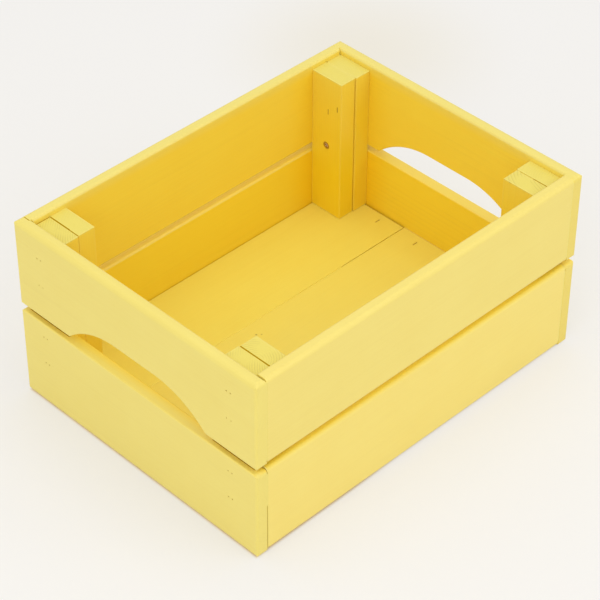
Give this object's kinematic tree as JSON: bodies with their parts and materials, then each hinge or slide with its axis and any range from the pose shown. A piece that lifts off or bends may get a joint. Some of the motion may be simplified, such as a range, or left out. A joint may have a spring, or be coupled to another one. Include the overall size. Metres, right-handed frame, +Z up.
{
  "type": "slatted wooden crate",
  "caption": "Slatted wooden storage crate with boarded walls and floor, doubled corner battens and an arched hand-hold cut into each end, painted yellow.",
  "frame": {"origin": "middle of the footprint, on the ground", "axes": "+X along the crate from the left end to the right end, +Y across it from front to back, +Z up"},
  "size_m": [0.4, 0.3, 0.194],
  "materials": {
    "painted_boards": "satin yellow paint over planed softwood, faint grain",
    "painted_battens": "satin yellow paint, growth rings showing on the end grain",
    "painted_floor": "satin yellow paint over planed softwood",
    "zinc_screws": "yellow zinc plate",
    "painted_staples": "zinc wire, thinly painted over"
  },
  "bodies": {
    "root": {"lower_end_board_left": "painted_boards", "upper_end_board_left": "painted_boards", "lower_end_board_right": "painted_boards", "upper_end_board_right": "painted_boards", "lower_side_board_front": "painted_boards", "upper_side_board_front": "painted_boards", "lower_side_board_back": "painted_boards", "upper_side_board_back": "painted_boards", "end_batten_left_front": "painted_battens", "end_batten_left_back": "painted_battens", "end_batten_right_front": "painted_battens", "end_batten_right_back": "painted_battens", "side_batten_left_front": "painted_battens", "side_batten_left_back": "painted_battens", "side_batten_right_front": "painted_battens", "side_batten_right_back": "painted_battens", "floor_board_front": "painted_floor", "floor_board_middle": "painted_floor", "floor_board_back": "painted_floor", "floor_bearer_left": "painted_floor", "floor_bearer_right": "painted_floor", "corner_screws": "zinc_screws", "floor_screws": "zinc_screws", "end_staples": "painted_staples", "side_staples": "painted_staples", "post_staples": "painted_staples", "floor_staples": "painted_staples"}
  },
  "joints": []
}
